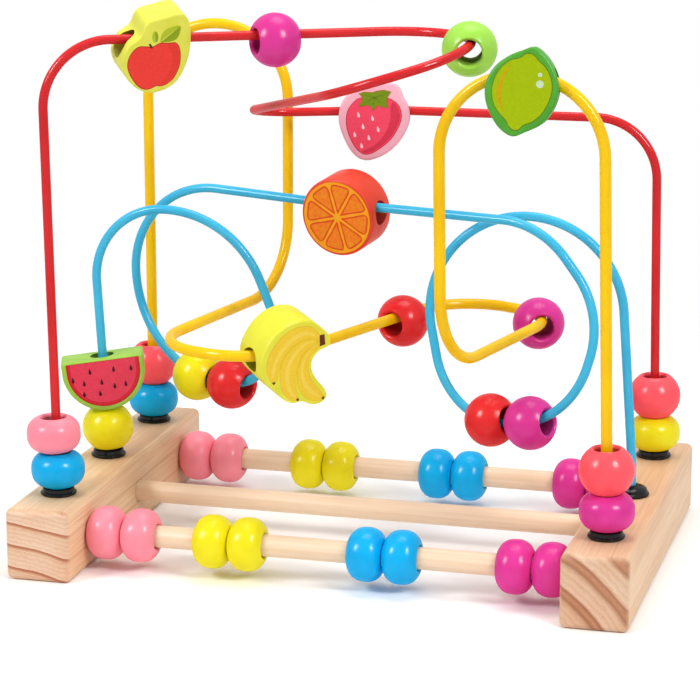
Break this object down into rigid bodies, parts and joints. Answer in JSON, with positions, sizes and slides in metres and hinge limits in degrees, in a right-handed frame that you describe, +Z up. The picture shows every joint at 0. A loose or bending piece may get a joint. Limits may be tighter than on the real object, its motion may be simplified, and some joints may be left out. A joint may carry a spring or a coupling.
{
  "type": "bead threading toy",
  "caption": "Wooden bead maze: two pine feet joined by dowels, three bent painted wires, and lacquered beads and fruit shapes that slide along them.",
  "frame": {"origin": "middle of the toy's outline, on the surface that the feet stand on", "axes": "+X along the rods from the left foot to the right foot, +Y from the front rod to the rear rod, +Z up"},
  "size_m": [0.2904, 0.19, 0.2552],
  "materials": {
    "pine": "sanded pine, clear satin coat",
    "dowel": "sanded pale wood, satin",
    "red_paint": "gloss coated wire",
    "yellow_paint": "gloss coated wire",
    "blue_paint": "gloss coated wire",
    "black_plastic": "gloss",
    "pink_lacquer": "gloss lacquer",
    "yellow_lacquer": "gloss lacquer",
    "blue_lacquer": "gloss lacquer",
    "magenta_lacquer": "gloss lacquer",
    "coral_lacquer": "gloss lacquer",
    "green_lacquer": "gloss lacquer",
    "red_lacquer": "gloss lacquer",
    "apple_lacquer": "satin lacquer with a printed apple",
    "strawberry_lacquer": "satin lacquer with a printed strawberry",
    "banana_lacquer": "satin lacquer with printed bananas",
    "lime_lacquer": "satin lacquer with a printed lime",
    "orange_lacquer": "satin lacquer with a printed orange slice",
    "watermelon_lacquer": "satin lacquer with a printed melon slice"
  },
  "bodies": {
    "stand": {"left_base_block": "pine", "right_base_block": "pine", "front_rod": "dowel", "centre_rod": "dowel", "rear_rod": "dowel", "red_wire": "red_paint", "yellow_wire": "yellow_paint", "blue_wire": "blue_paint", "left_front_ferrule": "black_plastic", "left_middle_ferrule": "black_plastic", "left_rear_ferrule": "black_plastic", "right_front_ferrule": "black_plastic", "right_middle_ferrule": "black_plastic", "right_rear_ferrule": "black_plastic"},
    "front_pink_bead_1": {"front_pink_bead_1": "pink_lacquer"},
    "front_pink_bead_2": {"front_pink_bead_2": "pink_lacquer"},
    "front_yellow_bead_1": {"front_yellow_bead_1": "yellow_lacquer"},
    "front_yellow_bead_2": {"front_yellow_bead_2": "yellow_lacquer"},
    "front_blue_bead_1": {"front_blue_bead_1": "blue_lacquer"},
    "front_blue_bead_2": {"front_blue_bead_2": "blue_lacquer"},
    "front_magenta_bead_1": {"front_magenta_bead_1": "magenta_lacquer"},
    "front_magenta_bead_2": {"front_magenta_bead_2": "magenta_lacquer"},
    "rear_pink_bead_1": {"rear_pink_bead_1": "pink_lacquer"},
    "rear_pink_bead_2": {"rear_pink_bead_2": "pink_lacquer"},
    "rear_yellow_bead_1": {"rear_yellow_bead_1": "yellow_lacquer"},
    "rear_yellow_bead_2": {"rear_yellow_bead_2": "yellow_lacquer"},
    "rear_blue_bead_1": {"rear_blue_bead_1": "blue_lacquer"},
    "rear_blue_bead_2": {"rear_blue_bead_2": "blue_lacquer"},
    "rear_magenta_bead_1": {"rear_magenta_bead_1": "magenta_lacquer"},
    "rear_magenta_bead_2": {"rear_magenta_bead_2": "magenta_lacquer"},
    "left_front_blue_bead": {"left_front_blue_bead": "blue_lacquer"},
    "left_front_pink_bead": {"left_front_pink_bead": "pink_lacquer"},
    "left_middle_yellow_bead": {"left_middle_yellow_bead": "yellow_lacquer"},
    "watermelon": {"watermelon": "watermelon_lacquer"},
    "left_rear_blue_bead": {"left_rear_blue_bead": "blue_lacquer"},
    "left_rear_coral_bead": {"left_rear_coral_bead": "coral_lacquer"},
    "right_front_magenta_bead": {"right_front_magenta_bead": "magenta_lacquer"},
    "right_front_coral_bead": {"right_front_coral_bead": "coral_lacquer"},
    "right_rear_yellow_bead": {"right_rear_yellow_bead": "yellow_lacquer"},
    "right_rear_coral_bead": {"right_rear_coral_bead": "coral_lacquer"},
    "apple": {"apple": "apple_lacquer"},
    "red_wire_magenta_bead": {"red_wire_magenta_bead": "magenta_lacquer"},
    "red_wire_green_bead": {"red_wire_green_bead": "green_lacquer"},
    "strawberry": {"strawberry": "strawberry_lacquer"},
    "banana": {"banana": "banana_lacquer"},
    "lime": {"lime": "lime_lacquer"},
    "yellow_wire_red_bead": {"yellow_wire_red_bead": "red_lacquer"},
    "yellow_wire_magenta_bead": {"yellow_wire_magenta_bead": "magenta_lacquer"},
    "orange": {"orange": "orange_lacquer"},
    "left_loop_red_bead": {"left_loop_red_bead": "red_lacquer"},
    "left_loop_yellow_bead": {"left_loop_yellow_bead": "yellow_lacquer"},
    "right_loop_magenta_bead": {"right_loop_magenta_bead": "magenta_lacquer"},
    "right_loop_red_bead": {"right_loop_red_bead": "red_lacquer"}
  },
  "joints": [
    {"name": "front_pink_bead_1_slide", "type": "slide", "parent": "stand", "child": "front_pink_bead_1", "axis": [1, 0, 0], "range_m": [0, 0.0089]},
    {"name": "front_pink_bead_2_slide", "type": "slide", "parent": "front_pink_bead_1", "child": "front_pink_bead_2", "axis": [1, 0, 0], "range_m": [0, 0.0089]},
    {"name": "front_yellow_bead_1_slide", "type": "slide", "parent": "stand", "child": "front_yellow_bead_1", "axis": [1, 0, 0], "range_m": [-0.0178, 0]},
    {"name": "front_yellow_bead_2_slide", "type": "slide", "parent": "stand", "child": "front_yellow_bead_2", "axis": [1, 0, 0], "range_m": [0, 0.0388]},
    {"name": "front_blue_bead_1_slide", "type": "slide", "parent": "stand", "child": "front_blue_bead_1", "axis": [1, 0, 0], "range_m": [-0.0388, 0]},
    {"name": "front_blue_bead_2_slide", "type": "slide", "parent": "stand", "child": "front_blue_bead_2", "axis": [1, 0, 0], "range_m": [0, 0.0347]},
    {"name": "front_magenta_bead_1_slide", "type": "slide", "parent": "front_magenta_bead_2", "child": "front_magenta_bead_1", "axis": [1, 0, 0], "range_m": [-0.0173, 0]},
    {"name": "front_magenta_bead_2_slide", "type": "slide", "parent": "stand", "child": "front_magenta_bead_2", "axis": [1, 0, 0], "range_m": [-0.0173, 0]},
    {"name": "rear_pink_bead_1_slide", "type": "slide", "parent": "stand", "child": "rear_pink_bead_1", "axis": [1, 0, 0], "range_m": [0, 0.0125]},
    {"name": "rear_pink_bead_2_slide", "type": "slide", "parent": "rear_pink_bead_1", "child": "rear_pink_bead_2", "axis": [1, 0, 0], "range_m": [0, 0.0125]},
    {"name": "rear_yellow_bead_1_slide", "type": "slide", "parent": "stand", "child": "rear_yellow_bead_1", "axis": [1, 0, 0], "range_m": [-0.0251, 0]},
    {"name": "rear_yellow_bead_2_slide", "type": "slide", "parent": "stand", "child": "rear_yellow_bead_2", "axis": [1, 0, 0], "range_m": [0, 0.0324]},
    {"name": "rear_blue_bead_1_slide", "type": "slide", "parent": "stand", "child": "rear_blue_bead_1", "axis": [1, 0, 0], "range_m": [-0.0324, 0]},
    {"name": "rear_blue_bead_2_slide", "type": "slide", "parent": "stand", "child": "rear_blue_bead_2", "axis": [1, 0, 0], "range_m": [0, 0.0338]},
    {"name": "rear_magenta_bead_1_slide", "type": "slide", "parent": "rear_magenta_bead_2", "child": "rear_magenta_bead_1", "axis": [1, 0, 0], "range_m": [-0.0169, 0]},
    {"name": "rear_magenta_bead_2_slide", "type": "slide", "parent": "stand", "child": "rear_magenta_bead_2", "axis": [1, 0, 0], "range_m": [-0.0169, 0]},
    {"name": "left_front_blue_bead_lift", "type": "slide", "parent": "stand", "child": "left_front_blue_bead", "axis": [-0.0157, 0, 0.9999], "range_m": [0, 0.069]},
    {"name": "left_front_pink_bead_lift", "type": "slide", "parent": "left_front_blue_bead", "child": "left_front_pink_bead", "axis": [-0.0157, 0, 0.9999], "range_m": [0, 0.069]},
    {"name": "left_middle_yellow_bead_lift", "type": "slide", "parent": "stand", "child": "left_middle_yellow_bead", "axis": [-0.0571, 0, 0.9984], "range_m": [0, 0.017]},
    {"name": "watermelon_lift", "type": "slide", "parent": "left_middle_yellow_bead", "child": "watermelon", "axis": [-0.0571, 0, 0.9984], "range_m": [0, 0.017]},
    {"name": "left_rear_blue_bead_lift", "type": "slide", "parent": "stand", "child": "left_rear_blue_bead", "axis": [0, 0, 1], "range_m": [0, 0.062]},
    {"name": "left_rear_coral_bead_lift", "type": "slide", "parent": "left_rear_blue_bead", "child": "left_rear_coral_bead", "axis": [0, 0, 1], "range_m": [0, 0.062]},
    {"name": "right_front_magenta_bead_lift", "type": "slide", "parent": "stand", "child": "right_front_magenta_bead", "axis": [-0.0276, 0, 0.9996], "range_m": [0, 0.062]},
    {"name": "right_front_coral_bead_lift", "type": "slide", "parent": "right_front_magenta_bead", "child": "right_front_coral_bead", "axis": [-0.0276, 0, 0.9996], "range_m": [0, 0.062]},
    {"name": "right_rear_yellow_bead_lift", "type": "slide", "parent": "stand", "child": "right_rear_yellow_bead", "axis": [-0.017, 0, 0.9999], "range_m": [0, 0.046]},
    {"name": "right_rear_coral_bead_lift", "type": "slide", "parent": "right_rear_yellow_bead", "child": "right_rear_coral_bead", "axis": [-0.017, 0, 0.9999], "range_m": [0, 0.046]},
    {"name": "apple_slide", "type": "slide", "parent": "stand", "child": "apple", "axis": [0.8964, 0.4431, 0.005], "range_m": [0, 0.0285]},
    {"name": "red_wire_magenta_bead_slide", "type": "slide", "parent": "stand", "child": "red_wire_magenta_bead", "axis": [0.8964, 0.4431, 0.005], "range_m": [-0.0285, 0.036]},
    {"name": "red_wire_green_bead_swing", "type": "hinge", "parent": "stand", "child": "red_wire_green_bead", "pos_m": [0.02802, -0.03013, 0.2314], "axis": [0.2389, 0.1118, -0.9646], "range_deg": [-10, 55]},
    {"name": "strawberry_slide", "type": "slide", "parent": "stand", "child": "strawberry", "axis": [0.9986, 0.0525, -0.004], "range_m": [0, 0.086]},
    {"name": "banana_swing", "type": "hinge", "parent": "stand", "child": "banana", "pos_m": [-0.04115, -0.03659, 0.103], "axis": [0, 0, 1], "range_deg": [-40, 10]},
    {"name": "lime_swing", "type": "hinge", "parent": "stand", "child": "lime", "pos_m": [0.09044, -0.066, 0.1973], "axis": [0, 1, 0], "range_deg": [-17, 35]},
    {"name": "yellow_wire_red_bead_slide", "type": "slide", "parent": "stand", "child": "yellow_wire_red_bead", "axis": [0.3428, 0.9394, 0], "range_m": [-0.063, 0.006]},
    {"name": "yellow_wire_magenta_bead_swing", "type": "hinge", "parent": "stand", "child": "yellow_wire_magenta_bead", "pos_m": [0.05079, 0.03153, 0.10248], "axis": [0.0074, 0.0156, -0.9999], "range_deg": [-24, 20]},
    {"name": "orange_slide", "type": "slide", "parent": "stand", "child": "orange", "axis": [0.9541, -0.299, 0.0167], "range_m": [-0.005, 0.028]},
    {"name": "left_loop_red_bead_swing", "type": "hinge", "parent": "stand", "child": "left_loop_red_bead", "pos_m": [-0.07063, 0.01293, 0.10125], "axis": [0.3493, 0.9239, 0.1564], "range_deg": [-70, 0]},
    {"name": "left_loop_yellow_bead_swing", "type": "hinge", "parent": "stand", "child": "left_loop_yellow_bead", "pos_m": [-0.07333, 0.01756, 0.11623], "axis": [0.3574, 0.9331, 0.0399], "range_deg": [0, 60]},
    {"name": "right_loop_magenta_bead_swing", "type": "hinge", "parent": "stand", "child": "right_loop_magenta_bead", "pos_m": [0.07993, -0.01017, 0.10736], "axis": [0.4367, 0.8829, -0.1725], "range_deg": [-45, 0]},
    {"name": "right_loop_red_bead_swing", "type": "hinge", "parent": "stand", "child": "right_loop_red_bead", "pos_m": [0.06888, -0.01387, 0.09946], "axis": [0.3962, 0.9179, 0.0237], "range_deg": [0, 60]}
  ]
}
